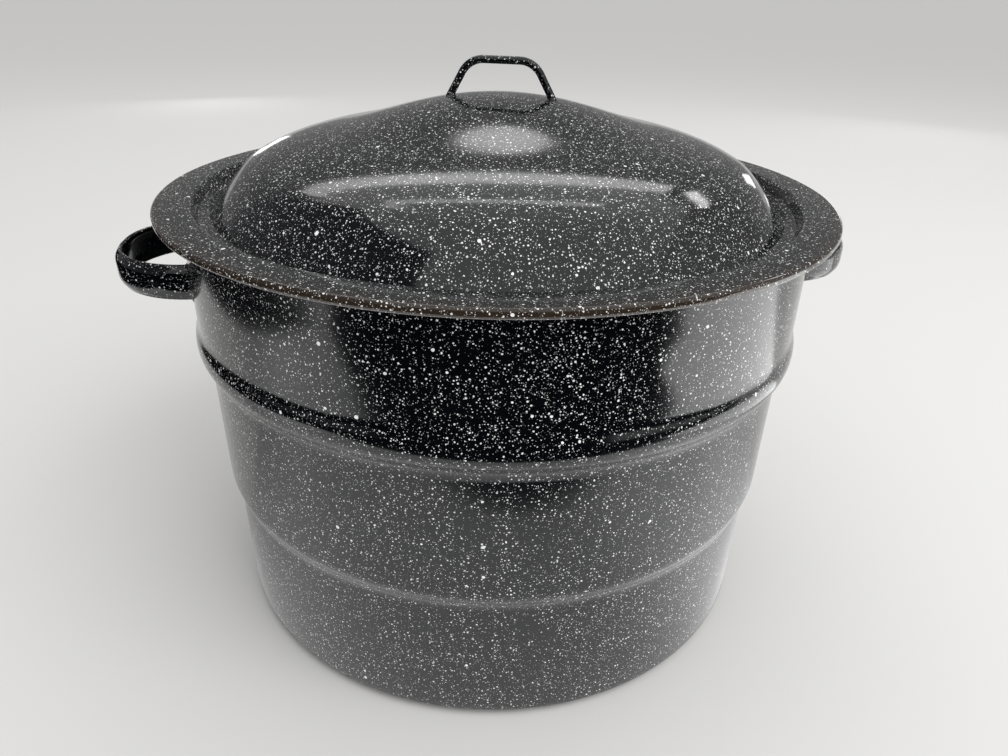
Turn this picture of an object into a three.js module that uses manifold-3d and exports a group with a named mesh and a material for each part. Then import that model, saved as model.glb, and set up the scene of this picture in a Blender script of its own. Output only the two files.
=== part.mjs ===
// Water-bath canning pot: a stepped enamelled pot with two strap handles, a domed lid with a wire grip,
// and the wire jar rack that stands inside. Millimetres, +Z up, the pot stands on z = 0.
import * as THREE from 'three';
import { mergeVertices } from 'three/addons/utils/BufferGeometryUtils.js';
import Module from 'manifold-3d';

const wasm = await Module();
wasm.setup();

// Sheet and gaps
const SHEET = 1.0; // steel with its coat of enamel
const SEAT_GAP = 0.3; // between pieces that rest on or are welded to each other
const EDGE_BEAD = 2.1; // height of the rolled edge of pot and lid
const ROUND_STEPS = 44; // facets round the pot and the lid

// Pot: three tiers, each a little wider than the one below, under a turned-out rim
const POT_HEIGHT = 236.3;
const BASE_RADIUS = 158.8;
const BASE_CORNER = 9;
const TIER_TAPER = 0.8; // how much the lower and middle tiers widen from foot to head
const LOWER_STEP_Z = 74;
const LOWER_STEP_RISE = 16;
const LOWER_STEP_OUT = 3.8;
const UPPER_STEP_Z = 152.8;
const UPPER_STEP_RISE = 16;
const UPPER_STEP_OUT = 5.6;
const BULGE_FADE = 12; // height over which the bulge above the upper step draws in again
const BULGE_DRAW_IN = 2.2;
const RIM_FILLET = 4;
const RIM_OVERHANG = 10.6; // reach of the rim past the wall below it

// Strap handles, welded to the upper tier
const STRAP_WIDTH = 88; // between the outer sides of the two arms
const STRAP_REACH = 37.2; // from the wall to the edges of the strap's front
const STRAP_CORNER = 41;
const STRAP_HEIGHT = 18.6;
const STRAP_THICKNESS = 2;
const STRAP_CROWN = 2.2; // bulge of the strap's face past its two edges
const STRAP_DROP = 34.3; // from the pot's rim down to the strap's centre line

// Lid: a flat flange, a gutter inside it and a dome with a raised crown
const LID_OVERHANG = 1.8; // past the pot's rim
const FLANGE_WIDTH = 16.6;
const GUTTER_WIDTH = 13.4; // from the dome's foot to the flange
const GUTTER_DEPTH = 7.7;
const FOOT_FILLET = 3; // between the dome's side and the gutter's floor
const HEEL_FILLET = 3.5; // between the gutter's floor and its outer wall
const HEEL_ANGLE = 70; // degrees between the gutter's outer wall and the level
const FLANGE_BEND = 2;
const DOME_RISE = 48.2; // from the flange to the top of the crown
const CROWN_RADIUS = 90;
const CROWN_RISE = 17.3; // of the crown above the ring where it starts
const SHOULDER_INSET = 23; // from the dome's foot to the start of its shoulder
const SHOULDER_DROP = 11.8; // from the crown's ring to the start of the shoulder
const SIDE_ANGLE = 58; // degrees between the dome's side and the level, at its foot

// Lid grip: an arch of round wire
const LID_TURN = -18; // degrees that the lid lies turned on the pot
const GRIP_WIRE = 3.6;
const GRIP_FOOT_SPAN = 54.8;
const GRIP_TOP_SPAN = 35.4;
const GRIP_HEIGHT = 16.8; // from the crown to the middle of the top bar
const GRIP_CORNER = 13;

// Jar rack: two base rings under spokes, two upper rings, and hoops that part the jars
const JAR_DIAMETER = 91;
const JAR_PLAY = 1.5;
const RING_WIRE = 4;
const SPOKE_WIRE = 3.5;
const HOOP_WIRE = 3.5;
const HOOP_COUNT = 6;
const HOOP_CORNER = 12;
const RACK_CLEARANCE = 9.3; // from the outer rings to the pot's lower tier
const RACK_STAND = 13; // from the pot's floor to the base rings' centre line
const RACK_RING_RISE = 64; // from the base rings to the upper rings
const SPOKE_SPREAD = 9; // degrees from the middle of a jar bay to each of its two spokes
const SPOKE_OVERHANG = 20; // how far the spokes run in past the inner ring, under the centre jar

// Rack handles: wire bails whose eyes turn on the upper outer ring
const BAIL_WIRE = 4;
const BAIL_SPREAD = 24; // degrees from the middle of a bail to each of its eyes
const BAIL_CORNER = 14;
const BAIL_EYE_CLEARANCE = 0.4;
const BAIL_WALL_GAP = 6;
const BAIL_HEADROOM = 8; // under the lid's gutter
const BAIL_JOG_RISE = 14; // height over which each arm steps out to hook on the rim
const BAIL_JOG_BEND = 9;

// Derived places
const lowerHeadRadius = BASE_RADIUS + TIER_TAPER;
const middleFootRadius = lowerHeadRadius + LOWER_STEP_OUT;
const middleHeadRadius = middleFootRadius + TIER_TAPER;
const bulgeRadius = middleHeadRadius + UPPER_STEP_OUT;
const wallRadius = bulgeRadius - BULGE_DRAW_IN;
const lowerStepTop = LOWER_STEP_Z + LOWER_STEP_RISE;
const upperStepTop = UPPER_STEP_Z + UPPER_STEP_RISE;
const bulgeTop = upperStepTop + BULGE_FADE;
const rimRadius = wallRadius + RIM_OVERHANG;
const lidRadius = rimRadius + LID_OVERHANG;
const flangeTop = POT_HEIGHT + SEAT_GAP + EDGE_BEAD;
const gutterFloor = flangeTop - GUTTER_DEPTH;
const gutterUnderside = gutterFloor - SHEET;
const crownTop = flangeTop + DOME_RISE;
const floorTop = SHEET;

const radians = THREE.MathUtils.degToRad;
const flat = (x, y) => new THREE.Vector2(x, y);
const space = (x, y, z) => new THREE.Vector3(x, y, z);

const enamel = () => new THREE.MeshStandardMaterial({ color: 0x141517, roughness: 0.12, metalness: 0 });
const platedWire = () => new THREE.MeshStandardMaterial({ color: 0xc9ccd0, roughness: 0.2, metalness: 1 });

// Points of an arc in a profile, by angles in degrees
function arc(centreX, centreY, radius, from, to, steps) {
  const list = [];
  for (let i = 0; i <= steps; i += 1) {
    const angle = radians(from + ((to - from) * i) / steps);
    list.push(flat(centreX + radius * Math.cos(angle), centreY + radius * Math.sin(angle)));
  }
  return list;
}

function bezier(start, handleA, handleB, end, steps) {
  return new THREE.CubicBezierCurve(start, handleA, handleB, end).getPoints(steps);
}

// An upright S-curve between two radii, as a drawn step in a wall has
function ogee(radiusA, zA, radiusB, zB, steps) {
  const middle = (zA + zB) / 2;
  return bezier(flat(radiusA, zA), flat(radiusA, middle), flat(radiusB, middle), flat(radiusB, zB), steps);
}

// Joins stretches of a profile and drops the doubled points where they meet
function joined(...stretches) {
  const line = [];
  for (const point of stretches.flat()) {
    const last = line[line.length - 1];
    if (!last || last.distanceTo(point) > 1e-6) line.push(point);
  }
  return line;
}

// The line moved to its left, as it runs, by a distance; a point on the axis stays there
function offsetLine(line, distance) {
  return line.map((point, i) => {
    const before = line[Math.max(i - 1, 0)];
    const after = line[Math.min(i + 1, line.length - 1)];
    const arriving = point.clone().sub(before).normalize();
    const leaving = after.clone().sub(point).normalize();
    if (i === 0) arriving.copy(leaving);
    if (i === line.length - 1) leaving.copy(arriving);
    const along = arriving.clone().add(leaving).normalize();
    const reach = distance / along.dot(arriving);
    const moved = flat(point.x - along.y * reach, point.y + along.x * reach);
    if (point.x === 0) moved.x = 0;
    return moved;
  });
}

// A solid of revolution about Z, with its faces outwards whichever way the outline runs
function turnedSolid(outline) {
  let area = 0;
  outline.forEach((point, i) => {
    area += point.cross(outline[(i + 1) % outline.length]);
  });
  const ordered = area > 0 ? outline : outline.slice().reverse();
  return new THREE.LatheGeometry(ordered, ROUND_STEPS).rotateX(Math.PI / 2);
}

// A sheet's outline: its lower line out to a rolled edge, and its upper line back to the axis
function sheetOutline(lowerLine, upperLine, edgeRadius, edgeTop) {
  const bead = EDGE_BEAD / 2;
  const undercut = THREE.MathUtils.radToDeg(Math.asin((bead - SHEET) / bead));
  const edge = arc(edgeRadius - bead, edgeTop - bead, bead, 180 - undercut, 450, 6);
  return joined(lowerLine, edge, upperLine.slice().reverse());
}

function solidOf(geometry) {
  const bare = geometry.clone();
  bare.deleteAttribute('normal');
  bare.deleteAttribute('uv');
  const merged = mergeVertices(bare, 1e-4);
  const index = Array.from(merged.index.array);
  const triangles = [];
  for (let i = 0; i < index.length; i += 3) {
    const [a, b, c] = index.slice(i, i + 3);
    if (a !== b && b !== c && c !== a) triangles.push(a, b, c);
  }
  return new wasm.Manifold(new wasm.Mesh({
    numProp: 3,
    vertProperties: new Float32Array(merged.attributes.position.array),
    triVerts: new Uint32Array(triangles),
  }));
}

function cutBy(geometry, cutter) {
  const mesh = solidOf(geometry).subtract(solidOf(cutter)).getMesh();
  const result = new THREE.BufferGeometry();
  result.setAttribute('position', new THREE.BufferAttribute(new Float32Array(mesh.vertProperties), 3));
  result.setIndex(new THREE.BufferAttribute(new Uint32Array(mesh.triVerts), 1));
  result.computeVertexNormals();
  return result;
}

// A path through chosen stations, one ring of a sweep at each
class Route extends THREE.Curve {
  constructor(stations) {
    super();
    this.stations = stations;
  }

  getUtoTmapping(u) {
    return u;
  }

  getPoint(t, target = new THREE.Vector3()) {
    const place = t * (this.stations.length - 1);
    const i = Math.min(Math.floor(place), this.stations.length - 2);
    return target.lerpVectors(this.stations[i], this.stations[i + 1], place - i);
  }
}

// A bent line: straight stretches between corners, each corner rounded in steps
function bentLine(corners, radius, steps) {
  const stations = [corners[0]];
  for (let i = 1; i < corners.length - 1; i += 1) {
    const back = corners[i - 1].clone().sub(corners[i]).normalize();
    const on = corners[i + 1].clone().sub(corners[i]).normalize();
    const half = back.angleTo(on) / 2;
    const start = corners[i].clone().addScaledVector(back, radius / Math.tan(half));
    const middle = back.clone().add(on).normalize();
    const centre = corners[i].clone().addScaledVector(middle, radius / Math.sin(half));
    const axis = on.clone().cross(back).normalize();
    for (let k = 0; k <= steps; k += 1) {
      const spoke = start.clone().sub(centre).applyAxisAngle(axis, ((Math.PI - 2 * half) * k) / steps);
      stations.push(centre.clone().add(spoke));
    }
  }
  stations.push(corners[corners.length - 1]);
  return stations;
}

function sweep(section, stations) {
  const extrudePath = new Route(stations);
  return new THREE.ExtrudeGeometry(section, { steps: stations.length - 1, extrudePath, curveSegments: 1 });
}

function roundSection(diameter, sides) {
  return new THREE.Shape(arc(0, 0, diameter / 2, 0, 360 - 360 / sides, sides - 1));
}

function piece(name, geometry, material) {
  const mesh = new THREE.Mesh(geometry, material);
  mesh.name = name;
  return mesh;
}

// Pot shell
function potOuterLine() {
  const flangeUnderside = POT_HEIGHT - SHEET;
  const filletRadius = wallRadius + RIM_FILLET;
  return joined(
    [flat(0, 0)],
    arc(BASE_RADIUS - BASE_CORNER, BASE_CORNER, BASE_CORNER, -90, 0, 3),
    ogee(lowerHeadRadius, LOWER_STEP_Z, middleFootRadius, lowerStepTop, 4),
    ogee(middleHeadRadius, UPPER_STEP_Z, bulgeRadius, upperStepTop, 4),
    ogee(bulgeRadius, upperStepTop, wallRadius, bulgeTop, 2),
    arc(filletRadius, flangeUnderside - RIM_FILLET, RIM_FILLET, 180, 90, 2),
    [flat(rimRadius - EDGE_BEAD, flangeUnderside)],
  );
}

function potShell() {
  const outer = potOuterLine();
  const inner = offsetLine(outer, SHEET);
  return turnedSolid(sheetOutline(outer, inner, rimRadius, POT_HEIGHT));
}

// The space that the pot's wall fills, with the seat gap round it, to trim what is welded to it
function potTrimmer() {
  const skin = offsetLine(potOuterLine(), -SEAT_GAP);
  return turnedSolid(joined(skin, [flat(0, POT_HEIGHT)]));
}

// Strap handle on the +X side: a crowned strap bent round in a loop
function strapHandle() {
  const crownSteps = 4;
  const face = [];
  for (let i = 0; i <= crownSteps; i += 1) {
    const across = (2 * i) / crownSteps - 1;
    face.push(flat((across * STRAP_HEIGHT) / 2, -STRAP_CROWN * (1 - across * across)));
  }
  const back = face.map((point) => flat(point.x, point.y + STRAP_THICKNESS));
  const section = new THREE.Shape([...face, ...back.reverse()]);
  const z = POT_HEIGHT - STRAP_DROP;
  const side = STRAP_WIDTH / 2;
  const front = wallRadius + STRAP_REACH;
  const root = Math.sqrt(wallRadius ** 2 - side ** 2) - STRAP_CORNER / 2;
  const corner = Math.min(STRAP_CORNER, side - STRAP_THICKNESS, front - root - STRAP_THICKNESS);
  const corners = [
    space(root, -side, z),
    space(front, -side, z),
    space(front, side, z),
    space(root, side, z),
  ];
  return cutBy(sweep(section, bentLine(corners, corner, 8)), potTrimmer());
}

// Lid shell
function lidTopLine() {
  const flangeInner = lidRadius - FLANGE_WIDTH;
  const domeFoot = flangeInner - GUTTER_WIDTH;
  const ringZ = crownTop - CROWN_RISE;
  const shoulderRadius = domeFoot - SHOULDER_INSET;
  const shoulderZ = ringZ - SHOULDER_DROP;
  const run = shoulderRadius - CROWN_RADIUS;
  const footCurve = arc(0, 0, FOOT_FILLET, 270 - SIDE_ANGLE, 270, 3);
  const foot = footCurve.map((p) => flat(domeFoot + p.x - footCurve[0].x, gutterFloor + FOOT_FILLET + p.y));
  const sideDrop = shoulderZ - foot[0].y;
  const crown = bezier(
    flat(0, crownTop),
    flat(CROWN_RADIUS * 0.44, crownTop),
    flat(CROWN_RADIUS * 0.69, ringZ + CROWN_RISE * 0.32),
    flat(CROWN_RADIUS, ringZ),
    5,
  );
  const brow = bezier(
    flat(CROWN_RADIUS, ringZ),
    flat(CROWN_RADIUS + run * 0.37, ringZ - SHOULDER_DROP * 0.24),
    flat(CROWN_RADIUS + run * 0.71, ringZ - SHOULDER_DROP * 0.53),
    flat(shoulderRadius, shoulderZ),
    3,
  );
  const sideReach = (sideDrop * 0.79) / Math.tan(radians(SIDE_ANGLE));
  const shoulder = bezier(
    flat(shoulderRadius, shoulderZ),
    flat(shoulderRadius + SHOULDER_INSET * 0.22, shoulderZ - sideDrop * 0.1),
    flat(domeFoot - sideReach, shoulderZ - sideDrop * 0.21),
    foot[0],
    5,
  );
  const bend = arc(flangeInner, flangeTop - FLANGE_BEND, FLANGE_BEND, 90 + HEEL_ANGLE, 90, 2);
  const heelCurve = arc(0, 0, HEEL_FILLET, 270, 270 + HEEL_ANGLE, 3);
  const heelTop = gutterFloor + HEEL_FILLET + heelCurve[3].y;
  const heelOut = bend[0].x - (bend[0].y - heelTop) / Math.tan(radians(HEEL_ANGLE));
  const heel = heelCurve.map((p) => flat(heelOut + p.x - heelCurve[3].x, gutterFloor + HEEL_FILLET + p.y));
  return joined(crown, brow, shoulder, foot, heel, bend, [flat(lidRadius - EDGE_BEAD, flangeTop)]);
}

function lidShell() {
  const top = lidTopLine();
  const underside = offsetLine(top, -SHEET);
  return turnedSolid(sheetOutline(underside, top, lidRadius, flangeTop));
}

// The space under the lid's top face, with the seat gap over it, to trim the feet of the grip
function lidTrimmer() {
  const skin = offsetLine(lidTopLine(), SEAT_GAP);
  return turnedSolid(joined([flat(0, gutterFloor)], [flat(lidRadius, gutterFloor)], skin.slice().reverse()));
}

function lidGrip() {
  const top = crownTop + GRIP_HEIGHT;
  const slope = (GRIP_FOOT_SPAN - GRIP_TOP_SPAN) / 2 / GRIP_HEIGHT;
  const sunk = GRIP_WIRE * 2;
  const foot = GRIP_FOOT_SPAN / 2 + slope * sunk;
  const corners = [
    space(-foot, 0, crownTop - sunk),
    space(-GRIP_TOP_SPAN / 2, 0, top),
    space(GRIP_TOP_SPAN / 2, 0, top),
    space(foot, 0, crownTop - sunk),
  ];
  return cutBy(sweep(roundSection(GRIP_WIRE, 8), bentLine(corners, GRIP_CORNER, 6)), lidTrimmer());
}

// Jar rack
const baseRingZ = floorTop + RACK_STAND;
const upperRingZ = baseRingZ + RACK_RING_RISE;
const outerRingRadius = BASE_RADIUS - SHEET - RACK_CLEARANCE - RING_WIRE / 2;
const innerRingRadius = JAR_DIAMETER / 2 + JAR_PLAY + RING_WIRE / 2;
const weldReach = RING_WIRE / 2 + SEAT_GAP + HOOP_WIRE / 2; // between a ring's and a hoop's centre lines

function wireRing(radius, z, steps) {
  return new THREE.TorusGeometry(radius, RING_WIRE / 2, 6, steps).translate(0, 0, z);
}

// A hoop in the XZ plane: two legs that stand on the pot's floor under a straight top
function dividerHoop() {
  const inner = innerRingRadius + weldReach;
  const outer = outerRingRadius - weldReach;
  const foot = floorTop + SEAT_GAP;
  const top = upperRingZ + HOOP_CORNER;
  const corners = [space(inner, 0, foot), space(inner, 0, top), space(outer, 0, top), space(outer, 0, foot)];
  return sweep(roundSection(HOOP_WIRE, 6), bentLine(corners, HOOP_CORNER, 5));
}

// A spoke along +X on top of the base rings
function baseSpoke() {
  const start = innerRingRadius - SPOKE_OVERHANG;
  const length = outerRingRadius - start;
  const z = baseRingZ + RING_WIRE / 2 + SEAT_GAP + SPOKE_WIRE / 2;
  return new THREE.CylinderGeometry(SPOKE_WIRE / 2, SPOKE_WIRE / 2, length, 8)
    .rotateZ(Math.PI / 2)
    .translate(start + length / 2, 0, z);
}

// A bail on the +Y side: an open eye round the ring at each end, arms that step out, and a top bar
function bailHandle() {
  const ring = RING_WIRE / 2;
  const wire = BAIL_WIRE / 2;
  const spread = radians(BAIL_SPREAD);
  const eyeX = outerRingRadius * Math.sin(spread);
  const eyeY = outerRingRadius * Math.cos(spread);
  const eyeRadius = ring / Math.cos(spread) + wire * Math.tan(spread) + wire + BAIL_EYE_CLEARANCE;
  const armY = eyeY + eyeRadius;
  const wallReach = wallRadius - SHEET - BAIL_WALL_GAP - wire;
  const topY = Math.sqrt(wallReach ** 2 - eyeX ** 2);
  const topZ = gutterUnderside - BAIL_HEADROOM - wire;
  const jogZ = bulgeTop - BAIL_JOG_RISE;
  const eye = arc(eyeY, upperRingZ, eyeRadius, 90, 345, 9).map((p) => space(eyeX, p.x, p.y));
  const half = [
    space(eyeX, armY, upperRingZ),
    space(eyeX, armY, jogZ),
    space(eyeX, topY, jogZ + BAIL_JOG_RISE),
    space(eyeX, topY, topZ - BAIL_CORNER * 2),
  ];
  const arm = [...eye, ...bentLine(half, BAIL_JOG_BEND, 3)];
  const mirrored = (list) => list.map((p) => space(-p.x, p.y, p.z)).reverse();
  const armTop = space(eyeX, topY, topZ - BAIL_CORNER * 2);
  const top = [armTop, space(eyeX, topY, topZ), space(-eyeX, topY, topZ), ...mirrored([armTop])];
  const bar = bentLine(top, BAIL_CORNER, 5).slice(1, -1);
  return sweep(roundSection(BAIL_WIRE, 6), [...arm, ...bar, ...mirrored(arm)]);
}

// Assembly
const pot = new THREE.Group();
pot.add(piece('pot_shell', potShell(), enamel()));
for (const [name, turn] of [['side_handle_right', 0], ['side_handle_left', 180]]) {
  const handle = piece(name, strapHandle(), enamel());
  handle.rotation.z = radians(turn);
  pot.add(handle);
}

const lid = new THREE.Group();
lid.rotation.z = radians(LID_TURN);
lid.add(piece('lid_grip', lidGrip(), enamel()));

const rack = new THREE.Group();
rack.add(piece('rack_base_outer_ring', wireRing(outerRingRadius, baseRingZ, ROUND_STEPS), platedWire()));
rack.add(piece('rack_base_inner_ring', wireRing(innerRingRadius, baseRingZ, 30), platedWire()));
rack.add(piece('rack_upper_outer_ring', wireRing(outerRingRadius, upperRingZ, ROUND_STEPS), platedWire()));
rack.add(piece('rack_upper_inner_ring', wireRing(innerRingRadius, upperRingZ, 30), platedWire()));
const bay = 360 / HOOP_COUNT;
for (let i = 0; i < HOOP_COUNT; i += 1) {
  const hoop = piece(`rack_divider_${i + 1}`, dividerHoop(), platedWire());
  hoop.rotation.z = radians(bay * i);
  rack.add(hoop);
  for (const [side, turn] of [['a', -SPOKE_SPREAD], ['b', SPOKE_SPREAD]]) {
    const spoke = piece(`rack_spoke_${i + 1}${side}`, baseSpoke(), platedWire());
    spoke.rotation.z = radians(bay * (i + 0.5) + turn);
    rack.add(spoke);
  }
}
for (const [name, turn] of [['rack_handle_back', 0], ['rack_handle_front', 180]]) {
  const bail = piece(name, bailHandle(), platedWire());
  bail.rotation.z = radians(turn);
  rack.add(bail);
}

const canner = new THREE.Group();
canner.add(pot, lid, rack, piece('lid_shell', lidShell(), enamel()));

export default canner;
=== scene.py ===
"""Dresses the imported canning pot: enamelled sheet turned from fine profiles, welded strap handles
and grip, and the plated wire rack inside. Every piece is in metres, in the frame of the CAD."""

import math

import bpy
import numpy as np
from mathutils import Matrix, Vector


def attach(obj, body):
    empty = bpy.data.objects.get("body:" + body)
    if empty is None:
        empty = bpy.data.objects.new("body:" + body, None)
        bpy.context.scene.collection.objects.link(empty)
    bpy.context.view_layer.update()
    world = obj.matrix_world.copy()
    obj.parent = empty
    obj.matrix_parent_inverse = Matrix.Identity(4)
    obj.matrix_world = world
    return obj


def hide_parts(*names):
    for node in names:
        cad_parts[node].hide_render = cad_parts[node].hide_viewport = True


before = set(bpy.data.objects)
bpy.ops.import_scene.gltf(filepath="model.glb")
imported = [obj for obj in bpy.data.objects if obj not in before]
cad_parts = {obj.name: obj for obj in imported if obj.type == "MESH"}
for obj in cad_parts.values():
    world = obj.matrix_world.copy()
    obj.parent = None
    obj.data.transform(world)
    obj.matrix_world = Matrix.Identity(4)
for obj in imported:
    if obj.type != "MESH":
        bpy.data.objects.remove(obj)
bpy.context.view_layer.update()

MM = 0.001

# The part's lengths are in millimetres, and all angles are in degrees

# Sheet
SHEET = 1.0
SEAT_GAP = 0.3
TURN_STEPS = 240
LONGEST_STRETCH = 14
CREASE = 50

# Pot; a step is its low and high end, and the radii below and above it
POT_HEIGHT = 236.3
BASE_RADIUS = 158.8
BASE_CORNER = 9
LOWER_STEP = (74, 90, 159.6, 163.4)
UPPER_STEP = (152.8, 168.8, 164.2, 169.8)
BULGE_TOP = 180.8
WALL_RADIUS = 167.6
RIM_FILLET = 4
RIM_RADIUS = 177.7
RIM_BEAD = 1.6
RIM_FALL = 15

# Strap handles; a higher power makes the face flatter, with more bend at its edges
STRAP_SIDE = 44
STRAP_REACH = 37.2
STRAP_CORNER = 41
STRAP_HEIGHT = 18.6
STRAP_THICKNESS = 2
STRAP_CROWN = 2.2
STRAP_FACE_POWER = 4
STRAP_FIT = 8
STRAP_END_STRETCH = 0.4
STRAP_Z = 202

# Lid
LID_RADIUS = 180
FLANGE_TOP = 238.7
FLANGE_INNER = 163.4
FLANGE_BEND = 2
LIP_ROUND = 1.6
LIP_FACE = 1.1
LIP_HEM = 1.3
LIP_CURL = 60
GUTTER_FLOOR = 231
FOOT_FILLET = 3
HEEL_FILLET = 3.5
HEEL_ANGLE = 70
DOME_FOOT = 152
SIDE_ANGLE = 54
CROWN_TOP = 286.9
CROWN_RING = (90, 269.6)
SHOULDER = (127, 257.8)

# Where the handles of the dome's curves lie, as shares of the way out and of the way down
CROWN_HANDLES = ((0.44, 0), (0.69, 0.68))
BROW_HANDLES = ((0.37, 0.24), (0.71, 0.53))
SHOULDER_HANDLE = (0.22, 0.1)
SIDE_SHARE = 0.79

# Grip; the leg's levels are heights above its sunk end
LID_TURN = -18
GRIP_WIRE = 3.6
GRIP_COAT = 0.2
GRIP_FOOT_HALF = 26.6
GRIP_TOP_HALF = 17.2
GRIP_HEIGHT = 16.6
GRIP_CORNER = 13
GRIP_SINK = 2.6
GRIP_LEG_LEVELS = (0, 0.5, 1, 1.6, 2.2, 2.9, 3.8, 5)
GRIP_STRETCH = 2.5
GRIP_SIDES = 24

# Spans of the painted edge tones, thin glaze with a painted reflection on the lid's lip and a
# painted highlight on the pot's rim, and where enamel has run into the corner of a weld
LIP_FADE = 2.6
RIM_FADE = 0.8
STRAP_POOL = 1.5
GRIP_POOL = 1.3
WELD_SINK = 0.4

# Rack
RING_WIRE = 4
RING_STEP = 2.25
SPOKE_WIRE = 3.5
HOOP_WIRE = 3.5
HOOP_COUNT = 6
HOOP_CORNER = 12
OUTER_RING = 146.5
INNER_RING = 49
BASE_RING_Z = 14
UPPER_RING_Z = 78
SPOKE_SPREAD = 9
SPOKE_OVERHANG = 20
FLOOR_TOP = 1
FLOOR_GAP = 0.1
WELD_SPOT = 1.5

# Rack handles
BAIL_WIRE = 4
BAIL_SPREAD = 24
BAIL_CORNER = 14
BAIL_EYE_CLEARANCE = 0.4
BAIL_EYE_ARC = (90, 345)
BAIL_WALL_GAP = 6
BAIL_TOP_Z = 220
BAIL_JOG_RISE = 14
BAIL_JOG_BEND = 9

# Wire; a cut end narrows to a share of the gauge over a short length
WIRE_SIDES = 14
CUT_LENGTH = 0.35
CUT_GAUGE = 0.8

# Specks: the radius, the cell and the faintest strength of each size
FINE_SPECK = (0.27, 0.88, 0.3)
MIDDLE_SPECK = (0.47, 1.5, 0.75)
BLOT = (0.95, 6.5, 0.9)
BLOT_SHARE = 0.6
SMALLEST_SPECK = 0.4
SIZE_POWER = 2.5
BRIGHT_POWER = 1.6
SPECK_EDGE = 0.1
RAGGED_SCALE, RAGGED_REACH = 420.0, 0.7
PATCH_SCALE, PATCH_DRIFT = 34.0, (0.5, 1.5)

# Coats: heights of wave and peel in millimetres, and scales of their noise
WAVE_SCALE, ENAMEL_WAVE, PLATE_WAVE = 30.0, 0.05, 0.02
PEEL_SCALE, ENAMEL_PEEL, PLATE_PEEL = 330.0, 0.004, 0.006
HAZE_SCALE, HAZE_SPAN = 21.0, (0.35, 0.75)

# Enamel and plating; a share is how many of the cells hold a speck
POT_SHARE, LID_SHARE, HANDLE_SHARE = 0.8, 1.0, 0.6
POT_GLOSS, LID_GLOSS, GLOSS_SPREAD = 0.12, 0.08, 0.05
ENAMEL_INDEX = 1.52
ENAMEL_BLACK = (0.0015, 0.002, 0.0028, 1)
FRIT_WHITE = (0.88, 0.89, 0.88, 1)
# The lid lip's brown is partly thin glaze and partly a painted reflection of the room
BROWN_GLAZE_AND_REFLECTION = (0.026, 0.018, 0.012, 1)
# Painted highlight: the pale line along the pot's rim bead
RIM_PAINTED_HIGHLIGHT = (0.2, 0.19, 0.18, 1)
PLATE_TONE = (0.66, 0.67, 0.68, 1)
WELD_TONE = (0.42, 0.41, 0.39, 1)
PLATE_ROUGHNESS = (0.14, 0.26)
WELD_DULLNESS = 0.22

# Camera, in metres and fitted to the photograph
CAMERA_PLACE = (-0.0591, -0.4209, 0.341)
CAMERA_HEADING = 8.74
CAMERA_PITCH = 27.83
CAMERA_ROLL = -1.49
FOCAL_PIXELS = 757
PHOTO_WIDTH = 1008
SENSOR = 36
CLIP = (0.01, 100)

# Studio, in metres; a box is left, near, right and far, and a curtain two azimuths and a height
FLOOR_REACH, FLOOR_Z = 90, -0.0002
FLOOR_TONE = (0.66, 0.655, 0.647, 1)
CLOTH_REACH, CLOTH_LIFT = 3.0, 0.002
CLOTH_NEAR, CLOTH_LEFT = -0.33, -0.58
WHITE_CARD_BOX = (0.36, -0.41, 1.0, 0.06)
CURTAIN_RADIUS, CURTAIN_STEPS = 2.6, 24
FRONT_CURTAIN = (150, 230, 0.9)
LEFT_CURTAIN = (225, 312, 4.2)
CLOTH_BLACK = (0.004, 0.004, 0.005, 1)
CLOTH_GREY = (0.2, 0.2, 0.21, 1)
WHITE_CARD_TONE, WHITE_CARD_GLOW = (0.8, 0.8, 0.8, 1), 1.8

# The card round the pot's foot: its glow, with each change of it and where that starts and ends
FOOT_CARD_TONE = (0.2, 0.2, 0.2, 1)
FOOT_CARD_START = 0.16
FOOT_CARD_TURNS, FOOT_CARD_RINGS = 73, 17
FOOT_CARD_GLOW = 0.9
RIGHT_RISE, RIGHT_SPAN = 0.6, (0.05, 0.2)
LEFT_RISE, LEFT_SPAN = 0.35, (0.35, 0.5)
BACK_SHARE, BACK_FALL, BACK_SPAN = 0.5, 0.08, (-0.15, 0)

# Light: each lamp's azimuth, elevation, width, height, level, and whether reflections show it
LAMP_DISTANCE, LAMP_AIM, WATTS_PER_LEVEL = 2.2, 0.2, 4
LAMPS = (
    ("key_softbox", 140, 45, 1.7, 1.5, 3.0, False),
    ("ceiling_strip_low", 3, 46, 2.6, 0.26, 1.9, True),
    ("ceiling_strip_high", 6, 63.2, 1.6, 0.12, 1.9, True),
    ("side_strip", 57, 35.5, 0.6, 0.14, 4, True),
    ("back_card_left", -16, 1, 0.2, 0.15, 3, True),
    ("back_card_right", 42, 6.5, 0.2, 0.26, 3, True),
)
WALL_LEVEL, FRONT_LEVEL, CEILING_LEVEL = 0.27, 0.8, 1.05
WALL_SPAN, CEILING_SPAN = (-0.3, 0.4), (0.62, 0.68)


# Lines and profiles


def arc(centre, radius, start, end, steps):
    """Points of an arc, by angles in degrees."""
    angles = np.radians(np.linspace(start, end, steps + 1))
    return [(centre[0] + radius * math.cos(a), centre[1] + radius * math.sin(a)) for a in angles]


def bezier(a, b, c, d, steps):
    t = np.linspace(0, 1, steps + 1)[:, None]
    a, b, c, d = (np.array(p, float) for p in (a, b, c, d))
    line = a * (1 - t) ** 3 + 3 * b * t * (1 - t) ** 2 + 3 * c * t**2 * (1 - t) + d * t**3
    return [tuple(p) for p in line]


def part_way(start, end, shares):
    """The point that lies by two shares of the way out and of the way down to the end."""
    return tuple(a + (b - a) * share for a, b, share in zip(start, end, shares))


def ogee(low, high, foot, head, steps):
    """An upright S-curve between two radii, as a drawn step in a wall has."""
    middle = (low + high) / 2
    return bezier((foot, low), (foot, middle), (head, middle), (head, high), steps)


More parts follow.
